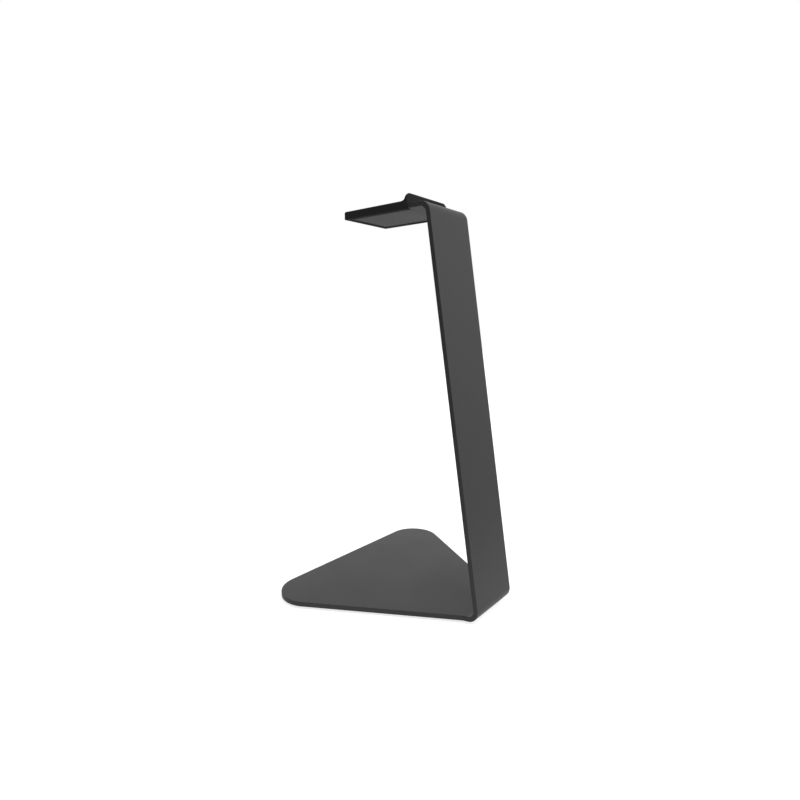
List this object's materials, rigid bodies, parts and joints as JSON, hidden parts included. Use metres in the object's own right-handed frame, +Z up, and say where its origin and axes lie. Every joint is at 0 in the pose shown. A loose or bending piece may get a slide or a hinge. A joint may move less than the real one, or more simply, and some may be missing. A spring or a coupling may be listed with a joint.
{
  "type": "headphone stand",
  "caption": "Free-standing headphone stand: bent steel sheet with a flared base, a leaning neck and a level perch under a rubber cover with a front lip.",
  "frame": {"origin": "on the table, at the centre of the bounding box of the stand seen from above", "axes": "+Z up, X across the stand, +Y from the neck towards the far edge of the base, the way the perch points"},
  "size_m": [0.1566, 0.1324, 0.2677],
  "materials": {
    "steel_coat": "satin dark grey powder coat, fine even texture",
    "cover_rubber": "matt moulded silicone, near black",
    "foot_rubber": "matt rubber, black"
  },
  "bodies": {
    "root": {"steel_frame": "steel_coat", "perch_cover": "cover_rubber", "foot_near_left": "foot_rubber", "foot_near_right": "foot_rubber", "foot_far_left": "foot_rubber", "foot_far_right": "foot_rubber"}
  },
  "joints": []
}
